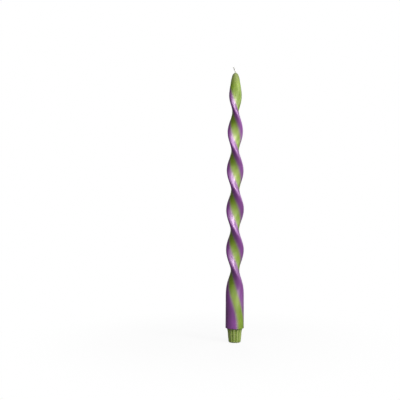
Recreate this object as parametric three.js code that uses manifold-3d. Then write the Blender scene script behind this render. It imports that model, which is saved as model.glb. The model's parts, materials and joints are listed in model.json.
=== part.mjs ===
// Spiral candle: a round green wax candle whose upper part is pressed flat to a blade and
// twisted to the left, with a purple wax skin over both edges of the blade, a fluted foot
// for a candlestick and a cotton wick.
// Millimetres. +Z is up and -Y is the front. The origin is the middle of the foot's lower face.
import * as THREE from "three";
import { mergeVertices } from "three/addons/utils/BufferGeometryUtils.js";
import Module from "manifold-3d";

// Lengths along the candle, from the foot up
const WAX_HEIGHT = 321.5; // lower face of the foot to the tip of the wax
const FOOT_HEIGHT = 17.1;
const BASE_LENGTH = 27.7; // round part above the foot
const FLARE_LENGTH = 40.5; // from the round base to the flat blade
const PRESS_LEAD = 6; // how far below the flare the wax starts to get thinner
const TAPER_LENGTH = 161; // stretch below the tip over which the blade gets narrower
const NOSE_LENGTH = 46; // stretch below the tip over which the blade closes to a round nose
const TAPER_POWER = 1.4; // 1 would taper evenly, more keeps the lower part wider
const NOSE_POWER = 3; // 2 would close the nose as an ellipse, more makes it fuller

// Widths across
const BASE_DIAMETER = 22;
const BASE_TOP_DIAMETER = 21.8;
const BLADE_WIDTH = 21.4;
const BLADE_TOP_WIDTH = 15.4; // what the taper would reach at the tip without the nose
const BLADE_THICKNESS = 10.6;
const BLADE_TOP_THICKNESS = 7; // likewise
const TIP_RIM = 0.75; // wax left round the bore at the very tip

// Foot
const FOOT_TOP_DIAMETER = 18.9;
const FOOT_NECK_DIAMETER = 16.2; // where the foot has flared in from the shoulder
const FOOT_NECK_DROP = 7.8; // shoulder to there
const FOOT_BOTTOM_DIAMETER = 14.4;
const FOOT_EDGE = 1.4; // radius of the rounded lower edge
const FLUTES = 12;
const FLUTE_TURN = -7; // degrees from the front to the middle of the first land
const FLUTE_WIDTH = 2;
const FLUTE_DEPTH = 1.2;
const FLUTE_FULLNESS = 0.75; // share of its depth that a groove has halfway to its middle

// Twist
const HALF_TURN_LOW = 48.8; // height of half a turn where the blade starts
const HALF_TURN_TOP = 45.45; // and at the tip
const SHOULDER_TURN = 35.8; // degrees from +X to the middle of the left skin, at the shoulder

// Purple skins, let in flush with the green faces
const GREEN_STRIPE = 9.8; // width of each green face between the skins
const SKIN_THICKNESS = 1;
const SKIN_CLEARANCE = 0.3;
const LEFT_SKIN_DROP = 7.4; // tip of the wax to the upper end of the left skin
const LEFT_SKIN_POINT = 14; // length over which it narrows to a point
const LEFT_SKIN_SPREAD = -16; // degrees of the ellipse added to each of its sides at the shoulder
const RIGHT_SKIN_DROP = 17; // the same for the right skin
const RIGHT_SKIN_POINT = 40;
const RIGHT_SKIN_SPREAD = 5.2;
const SKIN_POINT_ANGLE = 9; // degrees of the ellipse on each side of the edge, at the point
const SKIN_STEP = 1.2; // height over which the wax closes above a skin

// Wick
const WICK_DIAMETER = 1.6;
const WICK_CLEARANCE = 0.3;
const WICK_RECESS = 0.3; // its cut end above the foot's lower face
const WICK_FREE_LENGTH = 8;
const WICK_LEAN = 24; // degrees to the left
const WICK_BEND_SHARE = 0.25; // share of the free length at which the bend's corner lies

// Fineness of the meshes
const RING_STEP = 3.6;
const NOSE_RINGS = 20;
const LEAST_RING_STEP = 0.05;
const FACE_POINTS = 9;
const EDGE_POINTS = 9;
const BORE_SIDES = 12;
const FOOT_RINGS = 5;
const FOOT_EDGE_RINGS = 3;
const WICK_STEPS = 80;
const WICK_QUARTER_SIDES = 3;
const WELD_DISTANCE = 1e-4;
const CUT_OVERRUN = 1; // a cutting tool stands this far past both ends

// Places that follow from the sizes
const shoulder = FOOT_HEIGHT;
const baseTop = shoulder + BASE_LENGTH;
const bladeStart = baseTop + FLARE_LENGTH;
const noseStart = WAX_HEIGHT - NOSE_LENGTH;
const boreRadius = WICK_DIAMETER / 2 + WICK_CLEARANCE;
const tipRadius = boreRadius + TIP_RIM;
const pocketDepth = SKIN_THICKNESS + SKIN_CLEARANCE;
const leftSkin = {
  middle: Math.PI,
  top: WAX_HEIGHT - LEFT_SKIN_DROP,
  point: LEFT_SKIN_POINT,
  spread: THREE.MathUtils.degToRad(LEFT_SKIN_SPREAD),
};
const rightSkin = {
  middle: 0,
  top: WAX_HEIGHT - RIGHT_SKIN_DROP,
  point: RIGHT_SKIN_POINT,
  spread: THREE.MathUtils.degToRad(RIGHT_SKIN_SPREAD),
};

const clamp = THREE.MathUtils.clamp;
const lerp = THREE.MathUtils.lerp;
const smooth = (share) => THREE.MathUtils.smoothstep(share, 0, 1);

// How far the taper has gone at a height, from 0 to 1 at the tip.
function taperAt(z) {
  const share = clamp((z - (WAX_HEIGHT - TAPER_LENGTH)) / TAPER_LENGTH, 0, 1);
  return Math.pow(share, TAPER_POWER);
}

// Half the width and half the thickness of the wax at a height.
function halfSizes(z) {
  const blade = {
    wide: lerp(BLADE_WIDTH, BLADE_TOP_WIDTH, taperAt(z)) / 2,
    thick: lerp(BLADE_THICKNESS, BLADE_TOP_THICKNESS, taperAt(z)) / 2,
  };
  const baseShare = clamp((z - shoulder) / BASE_LENGTH, 0, 1);
  const base = lerp(BASE_DIAMETER, BASE_TOP_DIAMETER, baseShare) / 2;
  const flare = smooth(clamp((z - baseTop) / FLARE_LENGTH, 0, 1));
  const wide = lerp(base, blade.wide, flare);
  const pressing = smooth(clamp((z - baseTop + PRESS_LEAD) / (FLARE_LENGTH + PRESS_LEAD), 0, 1));
  const thick = lerp(base, blade.thick, pressing);

  const noseShare = clamp((z - noseStart) / NOSE_LENGTH, 0, 1);
  const rounded = lerp(thick, wide, smooth(noseShare));
  const closing = Math.pow(1 - noseShare * noseShare, 1 / NOSE_POWER);
  const close = (size) => Math.hypot(size * closing, tipRadius * (1 - closing));
  return { wide: close(wide), thick: close(rounded) };
}

// Direction of the blade's local +x axis, which points at the right skin. The twist starts
// at the shoulder, grows evenly to the full rate where the blade starts and gets a little
// tighter up to the tip.
function turnAt(z) {
  const lowRate = Math.PI / HALF_TURN_LOW;
  const topRate = Math.PI / HALF_TURN_TOP;
  const start = THREE.MathUtils.degToRad(SHOULDER_TURN) + Math.PI;
  const growing = Math.min(z, bladeStart) - shoulder;
  const fullLength = bladeStart - shoulder;
  const belowBlade = (lowRate * growing * growing) / (2 * fullLength);
  const along = Math.max(z - bladeStart, 0);
  const gain = (topRate - lowRate) / (WAX_HEIGHT - bladeStart);
  return start - belowBlade - along * (lowRate + (gain * along) / 2);
}

// A point of the section at a height: at an angle of its ellipse, sunk below the surface.
function surfacePoint(z, angle, sunk = 0) {
  const { wide, thick } = halfSizes(z);
  const x = (wide - sunk) * Math.cos(angle);
  const y = (thick - sunk) * Math.sin(angle);
  const turn = turnAt(z);
  return new THREE.Vector3(
    x * Math.cos(turn) - y * Math.sin(turn),
    x * Math.sin(turn) + y * Math.cos(turn),
    z,
  );
}

// Half the ellipse angle that a skin and its pocket take up. It leaves the green stripe free,
// is wider or narrower down to the shoulder and narrows to the point at the skin's upper end.
function pocketAngle(z, skin) {
  const height = Math.min(z, skin.top);
  const spread = skin.spread * (1 - smooth(clamp((height - shoulder) / BASE_LENGTH, 0, 1)));
  const full = Math.acos(GREEN_STRIPE / 2 / halfSizes(height).wide) + spread;
  const narrowing = smooth((height - skin.top + skin.point) / skin.point);
  return lerp(full, THREE.MathUtils.degToRad(SKIN_POINT_ANGLE), narrowing);
}

// Ellipse angle that a skin keeps free at each side of its pocket.
function clearanceAngle(z, skin) {
  const { wide, thick } = halfSizes(z);
  const angle = pocketAngle(z, skin);
  return SKIN_CLEARANCE / Math.hypot(wide * Math.sin(angle), thick * Math.cos(angle));
}

// Ring heights between two levels: every ring step, and at each level where a form changes.
function ringHeights(low, high) {
  const noseRings = Array.from(
    { length: NOSE_RINGS + 1 },
    (_, i) => noseStart + NOSE_LENGTH * Math.sin((Math.PI / 2) * (i / NOSE_RINGS)),
  );
  const closings = [leftSkin.top, rightSkin.top].flatMap((top) => [
    top,
    top + SKIN_CLEARANCE,
    top + SKIN_CLEARANCE + SKIN_STEP,
  ]);
  const keys = [low, high, ...closings, ...noseRings]
    .filter((z) => z >= low && z <= high)
    .sort((a, b) => a - b)
    .filter((z, i, all) => i === 0 || z - all[i - 1] > LEAST_RING_STEP);
  const heights = [keys[0]];
  for (const key of keys.slice(1)) {
    const last = heights[heights.length - 1];
    const steps = Math.ceil((key - last) / RING_STEP);
    for (let i = 1; i <= steps; i += 1) {
      heights.push(lerp(last, key, i / steps));
    }
  }
  return heights;
}

// Closed solid through rings of the same number of points, each counterclockwise from above.
// Each four-sided field is split along its shorter diagonal, so that two surfaces that lie
// side by side are split alike and keep their gap.
function loft(rings) {
  const count = rings[0].length;
  const index = [];
  for (let ring = 0; ring < rings.length - 1; ring += 1) {
    const low = rings[ring];
    const high = rings[ring + 1];
    for (let i = 0; i < count; i += 1) {
      const next = (i + 1) % count;
      const [a, b] = [ring * count + i, ring * count + next];
      const [c, d] = [b + count, a + count];
      if (low[i].distanceTo(high[next]) <= low[next].distanceTo(high[i])) {
        index.push(a, b, c, a, c, d);
      } else {
        index.push(a, b, d, b, c, d);
      }
    }
  }
  const outline = (ring) => ring.map((p) => new THREE.Vector2(p.x, p.y));
  const lowest = THREE.ShapeUtils.triangulateShape(outline(rings[0]), []);
  lowest.forEach(([a, b, c]) => index.push(a, c, b));
  const last = (rings.length - 1) * count;
  const highest = THREE.ShapeUtils.triangulateShape(outline(rings[rings.length - 1]), []);
  highest.forEach(([a, b, c]) => index.push(last + a, last + b, last + c));
  const geometry = new THREE.BufferGeometry().setFromPoints(rings.flat());
  geometry.setIndex(index);
  return geometry;
}

const wasm = await Module();
wasm.setup();

// A closed geometry as a solid that can be joined and cut.
function solidOf(geometry) {
  const bare = geometry.clone();
  bare.deleteAttribute("normal");
  bare.deleteAttribute("uv");
  const merged = mergeVertices(bare, WELD_DISTANCE);
  return new wasm.Manifold(
    new wasm.Mesh({
      numProp: 3,
      vertProperties: merged.attributes.position.array,
      triVerts: new Uint32Array(merged.index.array),
    }),
  );
}

// The surface of a solid as a geometry.
function geometryOf(solid) {
  const surface = solid.getMesh();
  const geometry = new THREE.BufferGeometry();
  geometry.setAttribute("position", new THREE.BufferAttribute(surface.vertProperties, 3));
  geometry.setIndex(new THREE.BufferAttribute(surface.triVerts, 1));
  return geometry;
}

// How far the pocket of a skin is open at a height: 1 beside the skin, 0 above it.
function pocketOpening(z, skin) {
  return 1 - clamp((z - skin.top - SKIN_CLEARANCE) / SKIN_STEP, 0, 1);
}

// Points spread evenly over an arc of the section, sunk below its surface.
function arcPoints(z, from, to, count, sunk = 0) {
  return Array.from({ length: count }, (_, i) =>
    surfacePoint(z, lerp(from, to, i / (count - 1)), sunk),
  );
}

// Points of one edge of the green wax: the pocket's floor, or the plain edge where it's closed.
function edgePoints(z, skin) {
  const opening = pocketOpening(z, skin);
  const reach = lerp((EDGE_POINTS - 1) / (EDGE_POINTS + 1), 1, opening);
  const half = pocketAngle(z, skin) * reach;
  const { middle } = skin;
  return arcPoints(z, middle - half, middle + half, EDGE_POINTS, pocketDepth * opening);
}

// Base, blade and nose of the green wax, with the pockets of both skins. A ring runs from
// the right edge over the back face to the left edge, and on over the front face.
function bladeGeometry() {
  const rings = ringHeights(shoulder, WAX_HEIGHT).map((z) => {
    const right = pocketAngle(z, rightSkin);
    const left = pocketAngle(z, leftSkin);
    return [
      ...edgePoints(z, rightSkin),
      ...arcPoints(z, right, Math.PI - left, FACE_POINTS),
      ...edgePoints(z, leftSkin),
      ...arcPoints(z, Math.PI + left, 2 * Math.PI - right, FACE_POINTS),
    ];
  });
  return loft(rings);
}

// One ring of the foot: round lands with a narrow groove between each two.
function footRing(z, radius) {
  const pitch = (2 * Math.PI) / FLUTES;
  const firstLand = THREE.MathUtils.degToRad(FLUTE_TURN) - Math.PI / 2;
  const halfGroove = FLUTE_WIDTH / 2 / radius;
  const points = [];
  for (let flute = 0; flute < FLUTES; flute += 1) {
    const land = firstLand + flute * pitch;
    const groove = land + pitch / 2;
    const outline = [
      [land, 0],
      [groove - halfGroove, 0],
      [groove - halfGroove / 2, FLUTE_FULLNESS],
      [groove, 1],
      [groove + halfGroove / 2, FLUTE_FULLNESS],
      [groove + halfGroove, 0],
    ];
    for (const [angle, depth] of outline) {
      const r = radius - depth * FLUTE_DEPTH;
      points.push(new THREE.Vector3(r * Math.cos(angle), r * Math.sin(angle), z));
    }
  }
  return points;
}

// Radius of the foot at a height: a slow taper up to its neck, then a flare to the shoulder,
// and a rounded edge round its lower face.
function footRadius(z) {
  const neck = FOOT_HEIGHT - FOOT_NECK_DROP;
  const taper = lerp(FOOT_BOTTOM_DIAMETER, FOOT_NECK_DIAMETER, z / neck) / 2;
  const flare = Math.pow(clamp((z - neck) / FOOT_NECK_DROP, 0, 1), 2);
  const radius = lerp(Math.min(taper, FOOT_NECK_DIAMETER / 2), FOOT_TOP_DIAMETER / 2, flare);
  const below = clamp(1 - z / FOOT_EDGE, 0, 1);
  return radius - FOOT_EDGE * (1 - Math.sqrt(1 - below * below));
}

// The foot that stands in a candlestick, with its flutes.
function footGeometry() {
  const edge = Array.from(
    { length: FOOT_EDGE_RINGS },
    (_, i) => FOOT_EDGE * (1 - Math.cos((Math.PI / 2) * (i / FOOT_EDGE_RINGS))),
  );
  const neck = FOOT_HEIGHT - FOOT_NECK_DROP;
  const flare = Array.from({ length: FOOT_RINGS }, (_, i) =>
    lerp(neck, FOOT_HEIGHT, i / (FOOT_RINGS - 1)),
  );
  return loft([...edge, FOOT_EDGE, ...flare].map((z) => footRing(z, footRadius(z))));
}

// The green wax in one piece, bored through for the wick.
function waxBody() {
  const length = WAX_HEIGHT + 2 * CUT_OVERRUN;
  const bore = new THREE.CylinderGeometry(boreRadius, boreRadius, length, BORE_SIDES);
  bore.rotateX(Math.PI / 2);
  bore.translate(0, 0, WAX_HEIGHT / 2);
  const body = solidOf(bladeGeometry()).add(solidOf(footGeometry()));
  return geometryOf(body.subtract(solidOf(bore)));
}

// A purple skin over one edge of the blade, from the shoulder to its point.
function purpleSkin(skin) {
  const rings = ringHeights(shoulder, skin.top).map((z) => {
    const half = pocketAngle(z, skin) - clearanceAngle(z, skin);
    const from = skin.middle - half;
    const to = skin.middle + half;
    return [
      ...arcPoints(z, from, to, EDGE_POINTS),
      ...arcPoints(z, to, from, EDGE_POINTS, SKIN_THICKNESS),
    ];
  });
  return loft(rings);
}

// The wick: straight through the wax, then leaning to the left above the tip.
function wickGeometry() {
  const lean = THREE.MathUtils.degToRad(WICK_LEAN);
  const root = new THREE.Vector3(0, 0, WICK_RECESS);
  const exit = new THREE.Vector3(0, 0, WAX_HEIGHT);
  const upright = WICK_FREE_LENGTH * WICK_BEND_SHARE;
  const bend = new THREE.Vector3(0, 0, WAX_HEIGHT + upright);
  const straight = WICK_FREE_LENGTH - upright;
  const end = bend
    .clone()
    .add(new THREE.Vector3(-straight * Math.sin(lean), 0, straight * Math.cos(lean)));
  const path = new THREE.CurvePath();
  path.add(new THREE.LineCurve3(root, exit));
  path.add(new THREE.QuadraticBezierCurve3(exit, bend, end));
  const section = new THREE.Shape();
  section.absarc(0, 0, WICK_DIAMETER / 2, 0, 2 * Math.PI);
  return new THREE.ExtrudeGeometry(section, {
    curveSegments: WICK_QUARTER_SIDES,
    steps: WICK_STEPS,
    extrudePath: path,
  });
}

function addPiece(group, name, geometry, material) {
  const mesh = new THREE.Mesh(geometry, material);
  mesh.name = name;
  group.add(mesh);
}

const greenWax = new THREE.MeshStandardMaterial({
  color: 0x88a91c,
  roughness: 0.4,
  metalness: 0,
});
const purpleWax = new THREE.MeshStandardMaterial({
  color: 0x964ea4,
  roughness: 0.4,
  metalness: 0,
});
const cotton = new THREE.MeshStandardMaterial({
  color: 0xe6e3da,
  roughness: 0.9,
  metalness: 0,
});

const candle = new THREE.Group();
addPiece(candle, "wax_body", waxBody(), greenWax);
addPiece(candle, "purple_skin_left", purpleSkin(leftSkin), purpleWax);
addPiece(candle, "purple_skin_right", purpleSkin(rightSkin), purpleWax);
addPiece(candle, "wick", wickGeometry(), cotton);

export default candle;
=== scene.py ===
"""Spiral candle: fine meshes, wax and cotton for a twisted dinner candle, and a small studio.

Lengths are in metres. +Z is up, -Y is the front and the origin is the middle of the foot's
lower face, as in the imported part.
"""

import json
import math

import bmesh
import bpy
from bpy.props import FloatProperty, FloatVectorProperty, IntProperty, PointerProperty
from mathutils import Euler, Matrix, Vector, noise


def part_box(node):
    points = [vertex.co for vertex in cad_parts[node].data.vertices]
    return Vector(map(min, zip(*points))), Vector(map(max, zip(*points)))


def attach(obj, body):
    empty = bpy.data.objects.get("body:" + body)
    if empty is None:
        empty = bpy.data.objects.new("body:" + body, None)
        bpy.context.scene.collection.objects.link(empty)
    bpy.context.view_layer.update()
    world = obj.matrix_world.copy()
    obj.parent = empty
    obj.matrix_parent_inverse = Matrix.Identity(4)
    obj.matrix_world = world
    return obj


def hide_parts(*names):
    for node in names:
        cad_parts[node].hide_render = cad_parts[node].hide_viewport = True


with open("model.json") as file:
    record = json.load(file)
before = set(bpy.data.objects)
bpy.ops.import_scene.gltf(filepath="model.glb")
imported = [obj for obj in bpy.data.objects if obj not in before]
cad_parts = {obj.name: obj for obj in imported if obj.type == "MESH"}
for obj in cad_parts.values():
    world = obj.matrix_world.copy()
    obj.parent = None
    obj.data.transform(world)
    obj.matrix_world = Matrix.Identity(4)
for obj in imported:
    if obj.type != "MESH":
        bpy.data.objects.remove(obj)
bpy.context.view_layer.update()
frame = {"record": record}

bl_info = {
    "name": "Spiral candle",
    "version": (1, 0, 0),
    "blender": (4, 5, 0),
    "location": "View3D > Sidebar > Candle",
    "description": "Dresses a twisted two-coloured dinner candle in wax and cotton",
    "category": "Object",
}

MM = 0.001


def mount_height(name):
    """Height of one of the part's mounts."""
    return next(m["pos_m"][2] for m in frame["record"]["mounts"] if m["name"] == name)


def linear(hex_colour):
    """Linear red, green and blue of an sRGB hex colour."""
    channels = [int(hex_colour[i : i + 2], 16) / 255 for i in (1, 3, 5)]
    return tuple(
        c / 12.92 if c <= 0.04045 else ((c + 0.055) / 1.055) ** 2.4 for c in channels
    )


def length(name, millimetres, description):
    """A property that holds a length."""
    return FloatProperty(
        name=name,
        description=description,
        default=millimetres * MM,
        min=0.0,
        precision=5,
        unit="LENGTH",
    )


def angle(name, degrees, description):
    """A property that holds an angle."""
    return FloatProperty(
        name=name, description=description, default=math.radians(degrees), unit="ROTATION"
    )


def power(name, watts, description):
    """A property that holds a lamp's power."""
    return FloatProperty(name=name, description=description, default=watts, unit="POWER")


def colour(name, hex_colour, description):
    """A property that holds a colour."""
    return FloatVectorProperty(
        name=name,
        description=description,
        default=linear(hex_colour),
        min=0.0,
        max=1.0,
        subtype="COLOR",
    )


TAPER_POWER = 1.4
NOSE_POWER = 3.0
WAX_TOP_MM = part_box("wax_body")[1].z / MM
SHOULDER_MM = mount_height("shoulder") / MM


class CandleSizes(bpy.types.PropertyGroup):
    """Sizes of the wax, the skins and the wick."""

    wax_height: length("Wax height", WAX_TOP_MM, "Lower face of the foot to the wax's tip")
    foot_height: length("Foot height", SHOULDER_MM, "Lower face of the foot to the shoulder")
    base_length: length("Base length", 27.7, "Round part above the foot")
    flare_length: length("Flare length", 40.5, "From the round base to the flat blade")
    press_lead: length("Press lead", 6.0, "How far below the flare the wax starts to get thinner")
    taper_length: length("Taper length", 161.0, "Stretch below the tip that gets narrower")
    nose_length: length("Nose length", 46.0, "Stretch below the tip that closes to a nose")
    base_diameter: length("Base diameter", 22.0, "Round base at the shoulder")
    base_top_diameter: length("Base top diameter", 21.8, "Round base at its upper end")
    blade_width: length("Blade width", 21.4, "Across the twisted blade where it starts")
    blade_top_width: length("Blade top width", 15.4, "What the taper would reach at the tip")
    blade_thickness: length("Blade thickness", 10.6, "Through the blade where it starts")
    blade_top_thickness: length("Blade top thickness", 7.0, "The same at the tip")
    tip_diameter: length("Tip diameter", 3.7, "Flat end of the nose round the wick")
    half_turn_low: length("Lower half turn", 48.8, "Height of half a turn at the blade's start")
    half_turn_top: length("Upper half turn", 45.45, "Height of half a turn at the tip")
    shoulder_turn: angle("Shoulder turn", 35.8, "Where the left skin faces at the shoulder")
    green_stripe: length("Green stripe", 9.8, "Width of each green face between the skins")
    skin_thickness: length("Skin thickness", 0.9, "Purple wax over the edges of the blade")
    left_skin_spread: angle("Left skin spread", -16.0, "Added to each of its sides at the shoulder")
    right_skin_spread: angle("Right skin spread", 5.2, "The same on the right skin")
    left_skin_drop: length("Left skin drop", 7.4, "Tip to the upper end of the left skin")
    left_skin_point: length("Left skin point", 14.0, "Length over which it narrows")
    right_skin_drop: length("Right skin drop", 17.0, "Tip to the upper end of the right skin")
    right_skin_point: length("Right skin point", 40.0, "Length over which it narrows")
    foot_top_diameter: length("Foot top diameter", 18.9, "Fluted foot under the shoulder")
    foot_neck_diameter: length("Foot neck diameter", 16.2, "Where it has flared in")
    foot_neck_drop: length("Foot neck drop", 7.8, "Shoulder to the foot's neck")
    foot_bottom_diameter: length("Foot bottom diameter", 14.4, "Fluted foot at its lower face")
    foot_edge: length("Foot edge", 1.4, "Radius of the foot's rounded lower edge")
    flutes: IntProperty(name="Flutes", description="Grooves round the foot", default=12, min=3)
    flute_turn: angle("Flute turn", -7.0, "Turn of the grooves round the foot")
    flute_width: length("Flute width", 2.0, "Width of each groove")
    flute_depth: length("Flute depth", 1.2, "Depth of each groove")
    wick_width: length("Wick width", 1.6, "Across the flat braid")
    wick_free_length: length("Free wick", 8.0, "Wick above the wax")
    wick_lean: angle("Wick lean", 24.0, "Lean of the free wick to the left")


class CandleColours(bpy.types.PropertyGroup):
    """Colours of the wax and the cotton."""

    green: colour("Green wax", "#88A91C", "Wax dyed right through")
    green_deep: colour("Deep green", "#749A12", "The same wax where the dye is strongest")
    purple: colour("Purple wax", "#964EA4", "Dipped skin")
    purple_deep: colour("Deep purple", "#864591", "The same skin where it is thickest")
    green_gloss: colour("Green gloss", "#FFEDC4", "Tint of the gloss on the green wax")
    purple_gloss: colour("Purple gloss", "#FFE8FF", "Tint of the gloss on the purple skin")
    # Painted highlight: this pale colour is laid along the border between the dyes.
    seam: colour("Seam", "#CDB8B0", "Pale wax where one dye runs out into the other")
    milled: colour("Milled wax", "#BAC48C", "Green wax broken open by the cutter")
    # Painted shade: the tip colour darkens the nose toward the wick.
    tip: colour("Tip", "#808A5C", "Dull wax round the wick")
    cotton: colour("Cotton", "#F4F2EC", "Braided wick")


class CandleStudio(bpy.types.PropertyGroup):
    """Camera and lights."""

    mm_per_pixel: length("Pixel size", 1.196, "Real size of a pixel of the photograph")
    camera_distance: length("Camera distance", 870.0, "Camera to the middle of the candle")
    axis_pixel: FloatProperty(
        name="Axis pixel", description="Column of the candle's middle", default=235.06
    )
    foot_pixel: FloatProperty(
        name="Foot pixel", description="Row of the foot's lower face", default=342.0
    )
    camera_roll: angle("Camera roll", 0.2, "Tilt of the camera to its left")
    key_power: power("Key light", 6.0, "Soft box at the upper right")
    front_power: power("Front light", 2.9, "Soft box above the camera")
    left_power: power("Left light", 2.4, "Large soft box at the left")
    side_power: power("Side light", 0.85, "Soft box close at the right")
    low_power: power("Low light", 1.6, "White card low in front")
    top_power: power("Top light", 1.0, "Soft box over the candle")
    back_power: power("Back light", 3.0, "Soft box behind the candle, for views from there")
    surround: FloatProperty(
        name="Surround", description="Light from all round", default=0.045, min=0.0
    )


def smooth(share):
    """Eased share between 0 and 1."""
    t = min(max(share, 0.0), 1.0)
    return t * t * (3.0 - 2.0 * t)


def mix(a, b, share):
    """Value between a and b."""
    return a + (b - a) * share


class Skin:
    """One purple skin: the edge that it covers, its upper end, its point and its spread."""

    def __init__(self, middle, top, point, spread):
        self.middle = middle
        self.top = top
        self.point = point
        self.spread = spread


def both_skins(sizes):
    """The left and the right skin."""
    left_top = sizes.wax_height - sizes.left_skin_drop
    right_top = sizes.wax_height - sizes.right_skin_drop
    left = Skin(math.pi, left_top, sizes.left_skin_point, sizes.left_skin_spread)
    right = Skin(0.0, right_top, sizes.right_skin_point, sizes.right_skin_spread)
    return left, right


class Section:
    """The candle's section at one height: an ellipse, turned with the twist."""

    def __init__(self, sizes, z):
        self.z = z
        self.sizes = sizes
        self.wide, self.thick = half_sizes(sizes, z)
        turn = turn_at(sizes, z)
        self.cos = math.cos(turn)
        self.sin = math.sin(turn)
        self.drift = face_drift(sizes, z)
        self.pressed = pressed_share(sizes, z)
        self.above_shoulder = smooth((z - sizes.foot_height) / sizes.base_length)

    def point(self, ellipse_angle, sunk=0.0):
        """A point of the surface, sunk below it."""
        x = (self.wide - sunk) * math.cos(ellipse_angle)
        y = (self.thick - sunk) * math.sin(ellipse_angle) + self.drift
        p = Vector((x * self.cos - y * self.sin, x * self.sin + y * self.cos, self.z))
        out = Vector((p.x, p.y, 0.0)).normalized()
        return p + out * unevenness(p, self.pressed)

    def speed(self, ellipse_angle):
        """Length along the surface for each radian of the ellipse's angle."""
        across = self.wide * math.sin(ellipse_angle)
        return math.hypot(across, self.thick * math.cos(ellipse_angle))

    def skin_angle(self, skin):
        """Half the ellipse angle that a skin takes up."""
        share = min(self.sizes.green_stripe / 2.0 / self.wide, 1.0)
        narrowing = smooth((self.z - skin.top + skin.point) / skin.point)
        spread = skin.spread * (1.0 - self.above_shoulder)
        return (math.acos(share) + spread) * (1.0 - narrowing)

    def inside_skin(self, skin, ellipse_angle):
        """Distance along the surface to the skin's border, more than 0 inside the skin."""
        off = abs(math.remainder(ellipse_angle - skin.middle, 2.0 * math.pi))
        return (self.skin_angle(skin) - off) * self.speed(ellipse_angle)


def half_sizes(sizes, z):
    """Half the width and half the thickness of the wax at a height."""
    below_taper = sizes.wax_height - sizes.taper_length
    taper = min(max((z - below_taper) / sizes.taper_length, 0.0), 1.0) ** TAPER_POWER
    blade_wide = mix(sizes.blade_width, sizes.blade_top_width, taper) / 2.0
    blade_thick = mix(sizes.blade_thickness, sizes.blade_top_thickness, taper) / 2.0

    base_share = min(max((z - sizes.foot_height) / sizes.base_length, 0.0), 1.0)
    base = mix(sizes.base_diameter, sizes.base_top_diameter, base_share) / 2.0
    base_top = sizes.foot_height + sizes.base_length
    flare = smooth((z - base_top) / sizes.flare_length)
    wide = mix(base, blade_wide, flare)
    pressing = smooth((z - base_top + sizes.press_lead) / (sizes.flare_length + sizes.press_lead))
    thick = mix(base, blade_thick, pressing)

    nose_start = sizes.wax_height - sizes.nose_length
    nose = min(max((z - nose_start) / sizes.nose_length, 0.0), 1.0)
    closing = (1.0 - nose * nose) ** (1.0 / NOSE_POWER)
    tip = sizes.tip_diameter / 2.0 * (1.0 - closing)
    thick = mix(thick, wide, smooth(nose))
    return math.hypot(wide * closing, tip), math.hypot(thick * closing, tip)


def turn_at(sizes, z):
    """Direction of the blade's right edge: it turns to the left going up."""
    low_rate = math.pi / sizes.half_turn_low
    top_rate = math.pi / sizes.half_turn_top
    full = sizes.base_length + sizes.flare_length
    blade_start = sizes.foot_height + full
    growing = min(z, blade_start) - sizes.foot_height
    along = max(z - blade_start, 0.0)
    gain = (top_rate - low_rate) / (sizes.wax_height - blade_start)
    below = low_rate * growing * growing / (2.0 * full)
    return sizes.shoulder_turn + math.pi - below - along * (low_rate + gain * along / 2.0)


def pressed_share(sizes, z):
    """0 on the base, which is as it was cast, and 1 where the blade was pressed by hand."""
    start = sizes.foot_height + sizes.base_length
    return smooth((z - start) / sizes.flare_length)


DRIFT = -0.2 * MM
DRIFT_FADE = 40.0 * MM


def face_drift(sizes, z):
    """How far the blade stands out to one of its faces, as a hand-pressed blade does."""
    fall = smooth((sizes.wax_height - z) / DRIFT_FADE)
    return DRIFT * pressed_share(sizes, z) * fall


SLOW_WAVE = 24.0 * MM
SLOW_DEPTH = 0.16 * MM
CAST_SHARE = 0.2
QUICK_WAVE = 5.0 * MM
QUICK_DEPTH = 0.006 * MM
QUICK_PLACE = Vector((7.0, 0.0, 0.0))
SURFACE_SINK = 0.07 * MM


def unevenness(p, pressed):
    """Rise and fall of the wax, less on the base. It's never above the plain surface."""
    slow_share = noise.noise(p / SLOW_WAVE) * 0.5 - 0.5
    slow = slow_share * SLOW_DEPTH * mix(CAST_SHARE, 1.0, pressed)
    quick = (noise.noise(p / QUICK_WAVE + QUICK_PLACE) - 1.0) * QUICK_DEPTH
    return slow + quick - SURFACE_SINK


def steps_between(low, high, step):
    """Heights from low to high, at most a step apart."""
    count = max(1, math.ceil((high - low) / step))
    return [mix(low, high, i / count) for i in range(count + 1)]


RIM_STEPS = 5


def rim_heights(low, radius):
    """Heights of the rings of a rounded lower rim."""
    quarter = math.pi / 2.0
    return [
        low + radius * (1.0 - math.cos(quarter * i / RIM_STEPS)) for i in range(RIM_STEPS + 1)
    ]


def rim_inset(z, low, radius):
    """How far a rounded lower rim stands back at a height."""
    up = min(max((z - low) / radius, 0.0), 1.0)
    return radius * (1.0 - math.sqrt(1.0 - (1.0 - up) ** 2))


def add_ring(bm, points, values, layers):
    """A ring of vertices, each with its values in the mesh's layers."""
    ring = []
    for point, value in zip(points, values):
        vertex = bm.verts.new(point)
        for layer, number in zip(layers, value):
            vertex[layer] = number
        ring.append(vertex)
    return ring


def join_rings(bm, low, high):
    """Faces between two rings of the same number of vertices, counterclockwise from above."""
    count = len(low)
    for i in range(count):
        after = (i + 1) % count
        bm.faces.new((low[i], low[after], high[after], high[i]))


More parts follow.
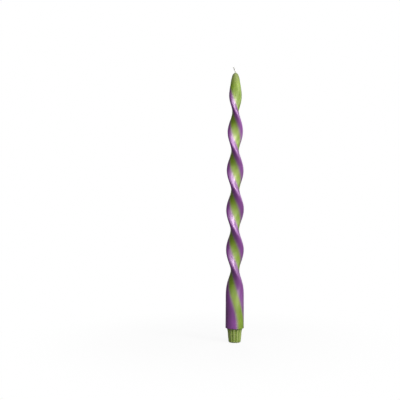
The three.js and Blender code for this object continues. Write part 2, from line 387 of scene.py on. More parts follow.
def stitch_rings(bm, inner, outer):
    """Triangles that face down between two level rings of different numbers of vertices."""

    def bearing(vertex):
        return math.atan2(vertex.co.y, vertex.co.x)

    start = min(
        range(len(outer)),
        key=lambda i: abs(math.remainder(bearing(outer[i]) - bearing(inner[0]), 2 * math.pi)),
    )
    outer = outer[start:] + outer[:start]
    i = j = 0
    while i < len(inner) or j < len(outer):
        a, b = inner[i % len(inner)], outer[j % len(outer)]
        if i / len(inner) <= j / len(outer):
            i += 1
            bm.faces.new((a, b, inner[i % len(inner)])[::-1])
        else:
            j += 1
            bm.faces.new((a, b, outer[j % len(outer)])[::-1])


def finish_piece(bm, name, material, nodes):
    """Turns a bmesh into a smooth object that rides on the part and stands for its nodes."""
    bmesh.ops.recalc_face_normals(bm, faces=bm.faces)
    mesh = bpy.data.meshes.new(name)
    bm.to_mesh(mesh)
    bm.free()
    mesh.shade_smooth()
    piece = bpy.data.objects.new(name, mesh)
    bpy.context.scene.collection.objects.link(piece)
    mesh.materials.append(material)
    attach(piece, "root")
    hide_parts(*nodes)
    return piece


SURFACE_STEP = 0.8 * MM
ROUND_POINTS = 128
NOSE_RINGS = 48
SKIN_POINTS = 49
SHOULDER_RIM = 0.35 * MM
POCKET_DEPTH = 0.5 * MM
BORDER_LAP = 0.9 * MM
SKIN_PROUD = 0.02 * MM
SKIN_DIP = 0.3 * MM
SKIN_END_DIP = 2.0 * MM
SHOULDER_LAP = 0.02 * MM
FAR_OUTSIDE = -9.0
SEAM_RISE = 2.0 * MM
SHADED_GROOVE_MILLED = 0.1


def blade_heights(sizes, high):
    """Ring heights from the shoulder's rounded rim to a height, finer in the nose."""
    rim = rim_heights(sizes.foot_height, SHOULDER_RIM)
    nose_start = sizes.wax_height - sizes.nose_length
    straight = steps_between(rim[-1], nose_start, SURFACE_STEP)
    nose = [
        nose_start + sizes.nose_length * math.sin(math.pi / 2.0 * i / NOSE_RINGS)
        for i in range(1, NOSE_RINGS + 1)
    ]
    return [z for z in rim[:-1] + straight + nose if z <= high + 1e-9]


def pocket_sink(section, skin, ellipse_angle):
    """How far the green wax lies under a skin. It stays at the surface beside the border."""
    inside = section.inside_skin(skin, ellipse_angle)
    return POCKET_DEPTH * smooth((inside - BORDER_LAP) / (2.0 * BORDER_LAP))


def skin_value(sizes, section, ellipse_angle):
    """Millimetres inside the nearer skin's border, for the wax's colour."""
    insides = []
    for skin in both_skins(sizes):
        below_top = skin.top - SEAM_RISE - section.z
        insides.append(min(section.inside_skin(skin, ellipse_angle), below_top))
    return max(insides) / MM


def blade_rings(bm, sizes, layers):
    """Rings of the green wax from the shoulder to the tip."""
    rings = []
    skins = both_skins(sizes)
    angles = [2.0 * math.pi * i / ROUND_POINTS for i in range(ROUND_POINTS)]
    for z in blade_heights(sizes, sizes.wax_height):
        section = Section(sizes, z)
        inset = rim_inset(z, sizes.foot_height, SHOULDER_RIM)
        points = []
        values = []
        for t in angles:
            sunk = sum(pocket_sink(section, skin, t) for skin in skins)
            points.append(section.point(t, sunk + inset))
            values.append((skin_value(sizes, section, t), 0.0))
        rings.append(add_ring(bm, points, values, layers))
    return rings


FOOT_STEP = 0.5 * MM
POINTS_PER_FLUTE = 16
GROOVE_STEEPNESS = 1.15
CROWN_DEPTH = 0.12 * MM
CHATTER_WIDTH = 0.9 * MM
CHATTER_LENGTH = 9.0 * MM
CHATTER_DEPTH = 0.05 * MM
CHIP_SIZE = 1.7 * MM
CHIP_PLACE = Vector((3.0, 5.0, 1.0))
CHIP_THRESHOLD = 0.28
CHIP_DEPTH = 0.5 * MM
FOOT_FACE_INSET = 2.9 * MM
WELL_GAP = 0.2 * MM
WELL_DEPTH = 1.2 * MM
WELL_CEILING_SHARE = 0.9


def foot_radius(sizes, z):
    """Radius of the foot: a slow taper to its neck, a flare, and a rounded lower edge."""
    neck = sizes.foot_height - sizes.foot_neck_drop
    up = min(z / neck, 1.0)
    taper = mix(sizes.foot_bottom_diameter, sizes.foot_neck_diameter, up) / 2.0
    flare = max((z - neck) / sizes.foot_neck_drop, 0.0) ** 2
    radius = mix(taper, sizes.foot_top_diameter / 2.0, flare)
    return radius - rim_inset(z, 0.0, sizes.foot_edge)


def foot_ring(sizes, z, points_per_flute):
    """Points of the fluted foot at a height, and the share of pale milled colour for each: full on
    the lands, little in the grooves as painted shade.
    """
    radius = foot_radius(sizes, z)
    count = sizes.flutes * points_per_flute
    pitch = 2.0 * math.pi / sizes.flutes
    groove_share = sizes.flute_width / (pitch * radius)
    points = []
    values = []
    for i in range(count):
        bearing = sizes.flute_turn - math.pi / 2.0 + 2.0 * math.pi * i / count
        off_groove = abs((i / points_per_flute) % 1.0 - 0.5)
        across = max(1.0 - 2.0 * off_groove / groove_share, 0.0)
        groove = smooth(across * GROOVE_STEEPNESS)
        depth = sizes.flute_depth * groove
        crown = CROWN_DEPTH * (2.0 * (0.5 - off_groove)) ** 2
        p = Vector((radius * math.cos(bearing), radius * math.sin(bearing), z))
        r = radius - depth - crown - milling_marks(p)
        points.append(Vector((r * math.cos(bearing), r * math.sin(bearing), z)))
        # Grooves get little of the pale milled colour and stay darker green: painted shade in the
        # grooves.
        values.append((FAR_OUTSIDE, mix(1.0, SHADED_GROOVE_MILLED, groove)))
    return points, values


def milling_marks(p):
    """Chatter and small chips that the cutter leaves in the foot."""
    along = Vector((p.x / CHATTER_WIDTH, p.y / CHATTER_WIDTH, p.z / CHATTER_LENGTH))
    chatter = noise.noise(along) * CHATTER_DEPTH
    chip = max(noise.noise(p / CHIP_SIZE + CHIP_PLACE) - CHIP_THRESHOLD, 0.0)
    return chatter + chip * CHIP_DEPTH


def foot_rings(bm, sizes, layers):
    """Rings of the foot from its lower edge to the shoulder."""
    edge = rim_heights(0.0, sizes.foot_edge)
    heights = edge[:-1] + steps_between(edge[-1], sizes.foot_height, FOOT_STEP)
    rings = []
    for z in heights:
        points, values = foot_ring(sizes, z, POINTS_PER_FLUTE)
        rings.append(add_ring(bm, points, values, layers))
    return rings


def close_foot(bm, sizes, lowest, layers):
    """The foot's lower face, with the small well in which the wick's cut end shows."""
    count = len(lowest)
    well = sizes.wick_width / 2.0 + WELL_GAP

    def circle(radius, z):
        bearings = [-math.pi / 2.0 + 2.0 * math.pi * i / count for i in range(count)]
        points = [Vector((radius * math.cos(b), radius * math.sin(b), z)) for b in bearings]
        return add_ring(bm, points, [(FAR_OUTSIDE, 1.0)] * count, layers)

    flat = circle(sizes.foot_bottom_diameter / 2.0 - FOOT_FACE_INSET, 0.0)
    mouth = circle(well, 0.0)
    ceiling = circle(well * WELL_CEILING_SHARE, WELL_DEPTH)
    join_rings(bm, flat, lowest)
    join_rings(bm, mouth, flat)
    join_rings(bm, ceiling, mouth)
    bm.faces.new(ceiling)


def close_tip(bm, sizes, highest, layers):
    """The collar of wax that climbs the wick a little, and its closed top inside the wick."""
    previous = highest
    # Each ring's radius as a share of the tip's diameter, and its height above it in mm.
    collar = ((0.4, 0.22), (0.3, 0.45), (0.16, 0.48))
    for radius_share, rise in collar:
        points = []
        for vertex in highest:
            radius = sizes.tip_diameter * radius_share
            out = Vector((vertex.co.x, vertex.co.y, 0.0)).normalized()
            points.append(out * radius + Vector((0.0, 0.0, sizes.wax_height + rise * MM)))
        ring = add_ring(bm, points, [(FAR_OUTSIDE, 0.0)] * len(points), layers)
        join_rings(bm, previous, ring)
        previous = ring
    bm.faces.new(previous)


def wax_layers(bm):
    """Layers for the distance inside a skin's border, and for the share of pale milled colour,
    which is kept low in the foot's grooves as painted shade.
    """
    names = ("inside_skin", "milled")
    return [bm.verts.layers.float.new(name) for name in names]


def make_green_wax(sizes, material):
    """Base, blade and nose, with the fluted foot, in one closed mesh."""
    bm = bmesh.new()
    layers = wax_layers(bm)
    blade = blade_rings(bm, sizes, layers)
    foot = foot_rings(bm, sizes, layers)
    for rings in (blade, foot):
        for low, high in zip(rings, rings[1:]):
            join_rings(bm, low, high)
    close_foot(bm, sizes, foot[0], layers)
    stitch_rings(bm, foot[-1], blade[0])
    close_tip(bm, sizes, blade[-1], layers)
    return finish_piece(bm, "green_wax_candle", material, ["wax_body"])


def skin_ring(sizes, section, skin, count):
    """Points and values of a skin's closed ring: outer face, then inner face."""
    half = section.skin_angle(skin)
    lap = BORDER_LAP / section.speed(skin.middle + half)
    reach = half + lap
    to_end = (skin.top - section.z) / SKIN_END_DIP
    inset = rim_inset(section.z, sizes.foot_height, SHOULDER_RIM)
    points = []
    values = []
    for i in range(count):
        t = skin.middle + mix(-reach, reach, i / (count - 1))
        inside = section.inside_skin(skin, t)
        dip = max(smooth(-inside / BORDER_LAP), 1.0 - smooth(to_end))
        sunk = mix(-SKIN_PROUD, SKIN_DIP, dip)
        points.append(section.point(t, sunk + inset))
        values.append((skin_value(sizes, section, t), 0.0))
    for i in range(count):
        t = skin.middle + mix(reach, -reach, i / (count - 1))
        points.append(section.point(t, sizes.skin_thickness + inset))
        values.append((skin_value(sizes, section, t), 0.0))
    return points, values


def make_skin(sizes, skin, material, name, node):
    """One purple skin. Its borders and its point dip under the green wax."""
    bm = bmesh.new()
    layers = wax_layers(bm)
    rings = []
    for z in blade_heights(sizes, skin.top):
        lowered = z - SHOULDER_LAP if z <= sizes.foot_height + 1e-9 else z
        section = Section(sizes, z)
        section.z = lowered
        points, values = skin_ring(sizes, section, skin, SKIN_POINTS)
        rings.append(add_ring(bm, points, values, layers))
    for low, high in zip(rings, rings[1:]):
        join_rings(bm, low, high)
    bm.faces.new(rings[0][::-1])
    bm.faces.new(rings[-1])
    return finish_piece(bm, name, material, [node])


WICK_STRANDS = 3
STRAND_POINTS = 8
STRAND_SHARE = 0.24
STRAND_SWELL = 1.12
PLAIT_LENGTH = 2.6 * MM
PLAIT_FLATNESS = 0.62
WICK_START = 0.4 * MM
WICK_END_GAP = 0.1 * MM
WICK_STEP = 0.45 * MM
WICK_FINE_STEP = 0.15 * MM
WICK_FINE_LENGTH = 4.0 * MM
CUT_END_SHARE = 0.55
CUT_END_LENGTH = 0.8 * MM
COAT_CLIMB = 2.2 * MM


def wick_path(sizes, z):
    """Middle of the wick and its lean at a height along it."""
    free = max(z - sizes.wax_height, 0.0)
    bend = sizes.wick_free_length / 2.0
    lean = sizes.wick_lean * smooth(free / bend)
    height = min(z, sizes.wax_height)
    if free > 0.0:
        pieces = 24
        x = up = 0.0
        for i in range(pieces):
            part = free * (i + 0.5) / pieces
            here = sizes.wick_lean * smooth(part / bend)
            x -= math.sin(here) * free / pieces
            up += math.cos(here) * free / pieces
        return Vector((x, 0.0, height + up)), lean
    return Vector((0.0, 0.0, height)), lean


def make_wick(sizes, material):
    """Three plaited strands, from the well in the foot to the free end."""
    strand_radius = sizes.wick_width * STRAND_SHARE
    swing = sizes.wick_width / 2.0 - strand_radius
    end = sizes.wax_height + sizes.wick_free_length - WICK_END_GAP
    fine_from = sizes.wax_height - WICK_FINE_LENGTH
    heights = steps_between(WICK_START, fine_from, WICK_STEP)
    heights += steps_between(fine_from, end, WICK_FINE_STEP)[1:]
    bm = bmesh.new()
    fibre = bm.verts.layers.float.new("round_strand")
    coated = bm.verts.layers.float.new("wax_coat")
    for strand in range(WICK_STRANDS):
        rings = []
        for z in heights:
            phase = 2.0 * math.pi * (z / PLAIT_LENGTH + strand / WICK_STRANDS)
            middle, lean = wick_path(sizes, z)
            turn = Euler((0.0, -lean, 0.0)).to_matrix()
            across = swing * math.sin(phase)
            through = swing * PLAIT_FLATNESS * math.sin(2.0 * phase)
            offset = Vector((across, through, 0.0))
            to_end = min(1.0, CUT_END_SHARE + (end - z) / CUT_END_LENGTH)
            ring = []
            for i in range(STRAND_POINTS):
                bearing = 2.0 * math.pi * i / STRAND_POINTS
                r = strand_radius * STRAND_SWELL * to_end
                round_it = Vector((r * math.cos(bearing), r * math.sin(bearing), 0.0))
                vertex = bm.verts.new(middle + turn @ (offset + round_it))
                vertex[fibre] = i / STRAND_POINTS
                vertex[coated] = 1.0 - smooth((z - sizes.wax_height) / COAT_CLIMB)
                ring.append(vertex)
            rings.append(ring)
        for low, high in zip(rings, rings[1:]):
            join_rings(bm, low, high)
        bm.faces.new(rings[0][::-1])
        bm.faces.new(rings[-1])
    return finish_piece(bm, "braided_wick", material, ["wick"])


def add_node(tree, kind, settings=None, inputs=None):
    """Adds a node, sets its properties, and sets or links its inputs."""
    node = tree.nodes.new(kind)
    for key, value in (settings or {}).items():
        setattr(node, key, value)
    for key, value in (inputs or {}).items():
        if isinstance(value, bpy.types.NodeSocket):
            tree.links.new(value, node.inputs[key])
        else:
            node.inputs[key].default_value = value
    return node


def new_material(name):
    """An empty node material with its output."""
    material = bpy.data.materials.new(name)
    material.use_nodes = True
    material.node_tree.nodes.clear()
    output = add_node(material.node_tree, "ShaderNodeOutputMaterial")
    return material, material.node_tree, output


def rgba(colour_value):
    """A colour property as red, green, blue and alpha."""
    return (*colour_value, 1.0)


def per_metre(millimetres):
    """Texture scale at which a pattern repeats about every so many millimetres."""
    return 1.0 / (millimetres * MM)


MIX_FACTOR, MIX_A, MIX_B, MIX_RESULT = 0, 6, 7, 2

CLOUD_MM = 18.0
CRYSTAL_MM = 2.2
RIPPLE_MM = 4.5
STREAK_MM = 0.8
WANDER_MM = 0.6
BLEED_OUTSIDE_MM = -3.4
BLEED_INSIDE_MM = 2.8
SEAM_HIGHLIGHT_STRENGTH = 0.25
NOSE_SHADE_STARTS_MM = 20.0
NOSE_SHADE_FULL_MM = 0.8
NOSE_SHADE_STRENGTH = 0.75
DRAIN_STARTS_MM = 25.0
DRAIN_FULL_MM = 10.0
DRAIN_STRENGTH = 0.9
BARE_ROUGHNESS = 0.72
BUMP_DEPTH = 0.008 * MM


def wax_material(name, colours, scatter, gloss_tint, satin_range, coat_roughness, coat_ior):
    """Candle wax: a stearin and paraffin mix, dyed, smooth from dipping and from the hands.

    The eye gets soft depth under a satin surface, faint clouds in the dye, fine crystal
    mottling, and a border between the colours that has bled a little.
    """
    material, tree, output = new_material(name)
    place = add_node(tree, "ShaderNodeTexCoord").outputs["Object"]
    inside = add_node(tree, "ShaderNodeAttribute", {"attribute_name": "inside_skin"})
    milled = add_node(tree, "ShaderNodeAttribute", {"attribute_name": "milled"})

    clouds = add_node(
        tree,
        "ShaderNodeTexNoise",
        None,
        {"Vector": place, "Scale": per_metre(CLOUD_MM), "Detail": 2.0, "Roughness": 0.45},
    )
    crystals = add_node(
        tree,
        "ShaderNodeTexNoise",
        None,
        {"Vector": place, "Scale": per_metre(CRYSTAL_MM), "Detail": 2.0, "Roughness": 0.5},
    )
    ripple = add_node(
        tree,
        "ShaderNodeTexNoise",
        None,
        {"Vector": place, "Scale": per_metre(RIPPLE_MM), "Detail": 1.0},
    )

    # The dyes run out into each other over some millimetres, and the border wanders a little.
    wander = add_node(
        tree,
        "ShaderNodeMath",
        {"operation": "MULTIPLY_ADD"},
        {0: ripple.outputs["Fac"], 1: WANDER_MM, 2: -WANDER_MM / 2.0},
    )
    border = add_node(
        tree,
        "ShaderNodeMath",
        {"operation": "ADD"},
        {0: inside.outputs["Fac"], 1: wander.outputs[0]},
    )
    purple_share = add_node(
        tree,
        "ShaderNodeMapRange",
        {"interpolation_type": "SMOOTHERSTEP"},
        {
            "Value": border.outputs[0],
            "From Min": BLEED_OUTSIDE_MM,
            "From Max": BLEED_INSIDE_MM,
        },
    )

    cloud_share = add_node(
        tree,
        "ShaderNodeMapRange",
        None,
        {"Value": clouds.outputs["Fac"], "From Min": 0.3, "From Max": 0.7},
    )
    green = add_node(
        tree,
        "ShaderNodeMix",
        {"data_type": "RGBA"},
        {
            MIX_FACTOR: cloud_share.outputs[0],
            MIX_A: rgba(colours.green),
            MIX_B: rgba(colours.green_deep),
        },
    )
    purple = add_node(
        tree,
        "ShaderNodeMix",
        {"data_type": "RGBA"},
        {
            MIX_FACTOR: cloud_share.outputs[0],
            MIX_A: rgba(colours.purple),
            MIX_B: rgba(colours.purple_deep),
        },
    )
    dyed = add_node(
        tree,
        "ShaderNodeMix",
        {"data_type": "RGBA"},
        {
            MIX_FACTOR: purple_share.outputs[0],
            MIX_A: green.outputs[MIX_RESULT],
            MIX_B: purple.outputs[MIX_RESULT],
        },
    )

    # A pale colour is mixed in along the seam where the dyes meet: a painted highlight along the
    # border.
    seam_highlight_hump = add_node(
        tree,
        "ShaderNodeMath",
        {"operation": "PINGPONG"},
        {0: purple_share.outputs[0], 1: 0.5},
    )
    seam_highlight_share = add_node(
        tree,
        "ShaderNodeMath",
        {"operation": "MULTIPLY"},
        {0: seam_highlight_hump.outputs[0], 1: SEAM_HIGHLIGHT_STRENGTH},
    )
    seam_highlighted = add_node(
        tree,
        "ShaderNodeMix",
        {"data_type": "RGBA"},
        {
            MIX_FACTOR: seam_highlight_share.outputs[0],
            MIX_A: dyed.outputs[MIX_RESULT],
            MIX_B: rgba(colours.seam),
        },
    )
    height_up = add_node(tree, "ShaderNodeSeparateXYZ", None, {0: place}).outputs["Z"]
    # Painted shade: the wax is darkened toward the tip with the tip colour.
    nose_shade_share = add_node(
        tree,
        "ShaderNodeMapRange",
        {"interpolation_type": "SMOOTHSTEP"},
        {
            "Value": height_up,
            "From Min": (WAX_TOP_MM - NOSE_SHADE_STARTS_MM) * MM,
            "From Max": (WAX_TOP_MM - NOSE_SHADE_FULL_MM) * MM,
            "To Max": NOSE_SHADE_STRENGTH,
        },
    )
    nose_shaded = add_node(
        tree,
        "ShaderNodeMix",
        {"data_type": "RGBA"},
        {
            MIX_FACTOR: nose_shade_share.outputs[0],
            MIX_A: seam_highlighted.outputs[MIX_RESULT],
            MIX_B: rgba(colours.tip),
        },
    )

    # Milled wax is broken open, so it is paler and dull, with the cutter's upright streaks.
    streaks = add_node(
        tree,
        "ShaderNodeTexNoise",
        None,
        {
            "Vector": add_node(
                tree,
                "ShaderNodeMapping",
                None,
                {"Vector": place, "Scale": (1.0, 1.0, 0.12)},
            ).outputs[0],
            "Scale": per_metre(STREAK_MM),
            "Detail": 3.0,
        },
    )
    open_wax = add_node(
        tree,
        "ShaderNodeMix",
        {"data_type": "RGBA"},
        {
            MIX_FACTOR: streaks.outputs["Fac"],
            MIX_A: rgba(colours.green),
            MIX_B: rgba(colours.milled),
        },
    )
    # The lands' pale milled colour is the cut wax's own; the grooves get little of it, which is
    # painted shade.
    base = add_node(
        tree,
        "ShaderNodeMix",
        {"data_type": "RGBA"},
        {
            MIX_FACTOR: milled.outputs["Fac"],
            MIX_A: nose_shaded.outputs[MIX_RESULT],
            MIX_B: open_wax.outputs[MIX_RESULT],
        },
    )
    mottled = add_node(
        tree,
        "ShaderNodeHueSaturation",
        None,
        {
            "Color": base.outputs[MIX_RESULT],
            "Value": add_node(
                tree,
                "ShaderNodeMapRange",
                None,
                {"Value": crystals.outputs["Fac"], "To Min": 0.93, "To Max": 1.07},
            ).outputs[0],
        },
    )

    satin = add_node(
        tree,
        "ShaderNodeMapRange",
        None,
        {"Value": ripple.outputs["Fac"], "To Min": satin_range[0], "To Max": satin_range[1]},
    )
    # A clear over-dip gives the gloss. It's thin on the upper end, which is dipped first and
    # drains, so the nose is duller, and the cutter took it off the foot.
    dip_drained = add_node(
        tree,
        "ShaderNodeMapRange",
        {"interpolation_type": "SMOOTHSTEP"},
        {
            "Value": height_up,
            "From Min": (WAX_TOP_MM - DRAIN_STARTS_MM) * MM,
            "From Max": (WAX_TOP_MM - DRAIN_FULL_MM) * MM,
            "To Max": DRAIN_STRENGTH,
        },
    )
    bare = add_node(
        tree,
        "ShaderNodeMath",
        {"operation": "MAXIMUM"},
        {0: dip_drained.outputs[0], 1: milled.outputs["Fac"]},
    )
    roughness = add_node(
        tree,
        "ShaderNodeMix",
        {"data_type": "FLOAT"},
        {0: bare.outputs[0], 2: satin.outputs[0], 3: BARE_ROUGHNESS},
    )

    height = add_node(
        tree,
        "ShaderNodeMath",
        {"operation": "MULTIPLY_ADD"},
        {0: ripple.outputs["Fac"], 1: 3.0, 2: crystals.outputs["Fac"]},
    )
    cut_height = add_node(
        tree,
        "ShaderNodeMix",
        {"data_type": "FLOAT"},
        {0: milled.outputs["Fac"], 2: height.outputs[0], 3: streaks.outputs["Fac"]},
    )
    bump = add_node(
        tree,
        "ShaderNodeBump",
        None,
        {"Height": cut_height.outputs[0], "Distance": BUMP_DEPTH, "Strength": 1.0},
    )
    over_dip = add_node(
        tree, "ShaderNodeMath", {"operation": "SUBTRACT"}, {0: 1.0, 1: bare.outputs[0]}
    )
    shader = add_node(
        tree,
        "ShaderNodeBsdfPrincipled",
        None,
        {
            "Base Color": mottled.outputs[0],
            "Roughness": roughness.outputs[0],
            "IOR": 1.55,
            "Specular IOR Level": 1.0,
            "Specular Tint": gloss_tint,
            "Normal": bump.outputs[0],
            "Subsurface Weight": 0.15,
            "Subsurface Radius": scatter,
            "Subsurface Scale": 1.0 * MM,
            "Coat Weight": over_dip.outputs[0],
            "Coat Roughness": coat_roughness,
            "Coat IOR": coat_ior,
        },
    )
    tree.links.new(shader.outputs[0], output.inputs["Surface"])
    return material


def cotton_material(colours):
    """Cotton: bleached yarn, plaited, with wax drawn up into its lowest millimetres.

    The eye gets a dull off-white with yarn lines, darker between the strands.
    """
    material, tree, output = new_material("Cotton yarn, plaited and waxed")
    place = add_node(tree, "ShaderNodeTexCoord").outputs["Object"]
    strand = add_node(tree, "ShaderNodeAttribute", {"attribute_name": "round_strand"})
    coat = add_node(tree, "ShaderNodeAttribute", {"attribute_name": "wax_coat"})
    fuzz = add_node(
        tree,
        "ShaderNodeTexNoise",
        None,
        {"Vector": place, "Scale": per_metre(0.25), "Detail": 3.0},
    )
    yarn = add_node(
        tree,
        "ShaderNodeMath",
        {"operation": "PINGPONG"},
        {
            0: add_node(
                tree,
                "ShaderNodeMath",
                {"operation": "MULTIPLY_ADD"},
                {0: strand.outputs["Fac"], 1: 8.0, 2: fuzz.outputs["Fac"]},
            ).outputs[0],
            1: 1.0,
        },
    )
    shade = add_node(
        tree,
        "ShaderNodeMapRange",
        None,
        {"Value": yarn.outputs[0], "To Min": 0.94, "To Max": 1.0},
    )
    dry = add_node(
        tree,
        "ShaderNodeHueSaturation",
        None,
        {"Color": rgba(colours.cotton), "Value": shade.outputs[0]},
    )
    tint = add_node(
        tree,
        "ShaderNodeMix",
        {"data_type": "RGBA"},
        {
            MIX_FACTOR: add_node(
                tree,
                "ShaderNodeMath",
                {"operation": "MULTIPLY"},
                {0: coat.outputs["Fac"], 1: 0.55},
            ).outputs[0],
            MIX_A: dry.outputs[0],
            MIX_B: rgba(colours.milled),
        },
    )
    roughness = add_node(
        tree,
        "ShaderNodeMapRange",
        None,
        {"Value": coat.outputs["Fac"], "To Min": 0.85, "To Max": 0.5},
    )
    bump = add_node(
        tree,
        "ShaderNodeBump",
        None,
        {"Height": yarn.outputs[0], "Distance": 0.04 * MM, "Strength": 0.8},
    )
    shader = add_node(
        tree,
        "ShaderNodeBsdfPrincipled",
        None,
        {
            "Base Color": tint.outputs[MIX_RESULT],
            "Roughness": roughness.outputs[0],
            "Normal": bump.outputs[0],
            "Sheen Weight": 0.3,
            "Sheen Roughness": 0.5,
            "Subsurface Weight": 0.5,
            "Subsurface Radius": (1.0, 1.0, 1.0),
            "Subsurface Scale": 0.8 * MM,
        },
    )
    tree.links.new(shader.outputs[0], output.inputs["Surface"])
    return material


FLOOR_TONE_SEEN = 0.85
FLOOR_TONE_INDIRECT = 0.16
SHADOW_RADIUS = 0.02
WHITE_RADIUS = 0.3
WHITE_SHARE_NEAR = 0.9
BACKDROP_EDGE = math.radians(30.0)
BACKDROP_FULL = math.radians(12.0)
LAMP_AIM_HEIGHT = 0.17
FLOOR_HALF = 3.0


def grey(tone):
    """A grey as red, green, blue and alpha."""
    return (tone, tone, tone, 1.0)


def floor_material():
    """Matt white paper. The camera sees it white, with the candle's faint shadow.

    Near the candle more of the real paper shows, and with it the shadow.
    """
    material, tree, output = new_material("White paper floor")
    path = add_node(tree, "ShaderNodeLightPath")
    tone = add_node(
        tree,
        "ShaderNodeMix",
        {"data_type": "RGBA"},
        {
            MIX_FACTOR: path.outputs["Is Camera Ray"],
            MIX_A: grey(FLOOR_TONE_INDIRECT),
            MIX_B: grey(FLOOR_TONE_SEEN),
        },
    )
    paper = add_node(tree, "ShaderNodeBsdfDiffuse", None, {"Color": tone.outputs[MIX_RESULT]})
    white = add_node(tree, "ShaderNodeEmission", None, {"Strength": 1.0})
    place = add_node(tree, "ShaderNodeTexCoord").outputs["Object"]
    away = add_node(tree, "ShaderNodeVectorMath", {"operation": "LENGTH"}, {0: place})
    whiteness = add_node(
        tree,
        "ShaderNodeMapRange",
        {"interpolation_type": "SMOOTHERSTEP"},
        {
            "Value": away.outputs["Value"],
            "From Min": SHADOW_RADIUS,
            "From Max": WHITE_RADIUS,
            "To Min": WHITE_SHARE_NEAR,
            "To Max": 1.0,
        },
    )
    seen = add_node(
        tree,
        "ShaderNodeMath",
        {"operation": "MAXIMUM"},
        {0: path.outputs["Is Camera Ray"], 1: path.outputs["Is Transmission Ray"]},
    )
    share = add_node(
        tree,
        "ShaderNodeMath",
        {"operation": "MULTIPLY"},
        {0: seen.outputs[0], 1: whiteness.outputs[0]},
    )
    both = add_node(
        tree,
        "ShaderNodeMixShader",
        None,
        {0: share.outputs[0], 1: paper.outputs[0], 2: white.outputs[0]},
    )
    tree.links.new(both.outputs[0], output.inputs["Surface"])
    return material


def make_world(studio):
    """A dim studio with a white backdrop. The camera sees white all round."""
    world = bpy.data.worlds.new("Studio surround")
    world.use_nodes = True
    tree = world.node_tree
    tree.nodes.clear()
    way = add_node(tree, "ShaderNodeTexCoord").outputs["Generated"]
    behind = add_node(
        tree,
        "ShaderNodeMapRange",
        {"interpolation_type": "SMOOTHSTEP"},
        {
            "Value": add_node(tree, "ShaderNodeSeparateXYZ", None, {0: way}).outputs["Y"],
            "From Min": math.cos(BACKDROP_EDGE),
            "From Max": math.cos(BACKDROP_FULL),
        },
    )
    path = add_node(tree, "ShaderNodeLightPath")
    mirrored = add_node(
        tree,
        "ShaderNodeMath",
        {"operation": "MAXIMUM"},
        {0: path.outputs["Is Glossy Ray"], 1: path.outputs["Is Transmission Ray"]},
    )
    in_backdrop = add_node(
        tree,
        "ShaderNodeMath",
        {"operation": "MULTIPLY"},
        {0: mirrored.outputs[0], 1: behind.outputs[0]},
    )
    white = add_node(
        tree,
        "ShaderNodeMath",
        {"operation": "MAXIMUM"},
        {0: path.outputs["Is Camera Ray"], 1: in_backdrop.outputs[0]},
    )
    strength = add_node(
        tree,
        "ShaderNodeMix",
        {"data_type": "FLOAT"},
        {0: white.outputs[0], 2: studio.surround, 3: 1.0},
    )
    light = add_node(
        tree,
        "ShaderNodeBackground",
        None,
        {"Color": grey(1.0), "Strength": strength.outputs[0]},
    )
    output = add_node(tree, "ShaderNodeOutputWorld")
    tree.links.new(light.outputs[0], output.inputs["Surface"])
    bpy.context.scene.world = world


def soft_box(name, power, right, up, size, distance=1.0):
    """A soft box aimed at the candle's middle, so many degrees right of the front and up."""
    data = bpy.data.lights.new(name, "AREA")
    data.energy = power
    data.shape = "RECTANGLE"
    data.size, data.size_y = size
    light = bpy.data.objects.new(name, data)
    right, up = math.radians(right), math.radians(up)
    away = Vector((math.sin(right) * math.cos(up), -math.cos(right) * math.cos(up), math.sin(up)))
    light.location = Vector((0.0, 0.0, LAMP_AIM_HEIGHT)) + away * distance
    light.rotation_euler = away.to_track_quat("Z", "Y").to_euler()
    bpy.context.scene.collection.objects.link(light)


def make_camera(studio):
    """The photograph's camera: level, opposite the middle of the picture."""
    picture_px = 400
    data = bpy.data.cameras.new("Camera")
    data.sensor_width = 36.0
    picture_width = picture_px * studio.mm_per_pixel
    data.lens = data.sensor_width * studio.camera_distance / picture_width
    camera = bpy.data.objects.new("Camera", data)
    middle = picture_px / 2.0
    camera.location = (
        (middle - studio.axis_pixel) * studio.mm_per_pixel,
        -studio.camera_distance,
        (studio.foot_pixel - middle) * studio.mm_per_pixel,
    )
    camera.rotation_euler = (math.pi / 2.0, -studio.camera_roll, 0.0)
    bpy.context.scene.collection.objects.link(camera)
    bpy.context.scene.camera = camera


class CANDLE_OT_green_wax(bpy.types.Operator):
    """Build the green wax: blade, base and fluted foot"""

    bl_idname = "candle.green_wax"
    bl_label = "Green wax"

    def execute(self, context):
        colours = context.scene.candle_colours
        material = wax_material(
            "Green candle wax, cast and twisted",
            colours,
            scatter=(0.7, 1.0, 0.3),
            gloss_tint=rgba(colours.green_gloss),
            satin_range=(0.44, 0.52),
            coat_roughness=0.4,
            coat_ior=1.65,
        )
        make_green_wax(context.scene.candle_sizes, material)
        return {"FINISHED"}


class CANDLE_OT_purple_skins(bpy.types.Operator):
    """Build the two purple skins over the edges of the blade"""

    bl_idname = "candle.purple_skins"
    bl_label = "Purple skins"

    def execute(self, context):
        sizes = context.scene.candle_sizes
        colours = context.scene.candle_colours
        material = wax_material(
            "Purple candle wax, dipped",
            colours,
            scatter=(1.0, 0.45, 0.9),
            gloss_tint=rgba(colours.purple_gloss),
            satin_range=(0.3, 0.36),
            coat_roughness=0.36,
            coat_ior=1.5,
        )
        left, right = both_skins(sizes)
        make_skin(sizes, left, material, "purple_skin_on_left_edge", "purple_skin_left")
        make_skin(sizes, right, material, "purple_skin_on_right_edge", "purple_skin_right")
        return {"FINISHED"}


class CANDLE_OT_wick(bpy.types.Operator):
    """Build the plaited cotton wick"""

    bl_idname = "candle.wick"
    bl_label = "Wick"

    def execute(self, context):
        material = cotton_material(context.scene.candle_colours)
        make_wick(context.scene.candle_sizes, material)
        return {"FINISHED"}


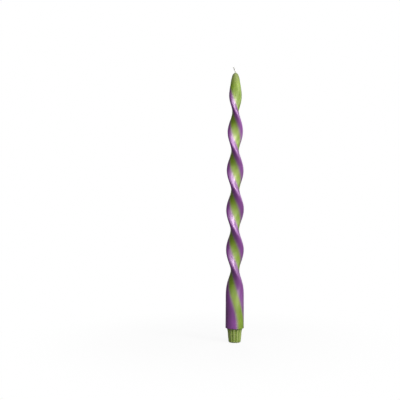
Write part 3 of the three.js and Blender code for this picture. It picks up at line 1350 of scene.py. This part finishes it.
class CANDLE_OT_studio(bpy.types.Operator):
    """Build the floor, the surround, the lights and the camera"""

    bl_idname = "candle.studio"
    bl_label = "Studio"

    def execute(self, context):
        studio = context.scene.candle_studio
        context.scene.view_settings.view_transform = "Standard"
        make_camera(studio)
        make_world(studio)
        soft_box("Key light", studio.key_power, right=50.0, up=29.0, size=(0.4, 0.4))
        soft_box("Front light", studio.front_power, right=14.0, up=38.0, size=(0.35, 0.35))
        soft_box("Left light", studio.left_power, right=-25.0, up=25.0, size=(0.8, 0.8))
        soft_box(
            "Side light", studio.side_power, right=100.0, up=12.0, size=(0.3, 0.5), distance=0.6
        )
        soft_box("Low light", studio.low_power, right=28.0, up=-6.0, size=(0.6, 0.2))
        soft_box("Top light", studio.top_power, right=36.0, up=72.0, size=(0.4, 0.4))
        soft_box("Back light", studio.back_power, right=180.0, up=30.0, size=(0.6, 0.6))
        mesh = bpy.data.meshes.new("floor")
        signs = ((-1, -1), (1, -1), (1, 1), (-1, 1))
        corners = [(x * FLOOR_HALF, y * FLOOR_HALF, 0.0) for x, y in signs]
        mesh.from_pydata(corners, [], [(0, 1, 2, 3)])
        mesh.materials.append(floor_material())
        floor = bpy.data.objects.new("floor", mesh)
        context.scene.collection.objects.link(floor)
        return {"FINISHED"}


class CANDLE_PT_pieces(bpy.types.Panel):
    """Steps that build the candle"""

    bl_label = "Spiral candle"
    bl_idname = "CANDLE_PT_pieces"
    bl_space_type = "VIEW_3D"
    bl_region_type = "UI"
    bl_category = "Candle"

    def draw(self, context):
        for step in (
            CANDLE_OT_green_wax,
            CANDLE_OT_purple_skins,
            CANDLE_OT_wick,
            CANDLE_OT_studio,
        ):
            self.layout.operator(step.bl_idname)
        for settings in ("candle_sizes", "candle_colours", "candle_studio"):
            group = getattr(context.scene, settings)
            for name in group.bl_rna.properties.keys():
                if name not in ("rna_type", "name"):
                    self.layout.prop(group, name)


CLASSES = (
    CandleSizes,
    CandleColours,
    CandleStudio,
    CANDLE_OT_green_wax,
    CANDLE_OT_purple_skins,
    CANDLE_OT_wick,
    CANDLE_OT_studio,
    CANDLE_PT_pieces,
)


def register():
    for cls in CLASSES:
        bpy.utils.register_class(cls)
    bpy.types.Scene.candle_sizes = PointerProperty(type=CandleSizes)
    bpy.types.Scene.candle_colours = PointerProperty(type=CandleColours)
    bpy.types.Scene.candle_studio = PointerProperty(type=CandleStudio)


def unregister():
    del bpy.types.Scene.candle_studio
    del bpy.types.Scene.candle_colours
    del bpy.types.Scene.candle_sizes
    for cls in reversed(CLASSES):
        bpy.utils.unregister_class(cls)


def main():
    register()
    bpy.ops.candle.studio()
    bpy.ops.candle.green_wax()
    bpy.ops.candle.purple_skins()
    bpy.ops.candle.wick()


if __name__ == "__main__":
    main()
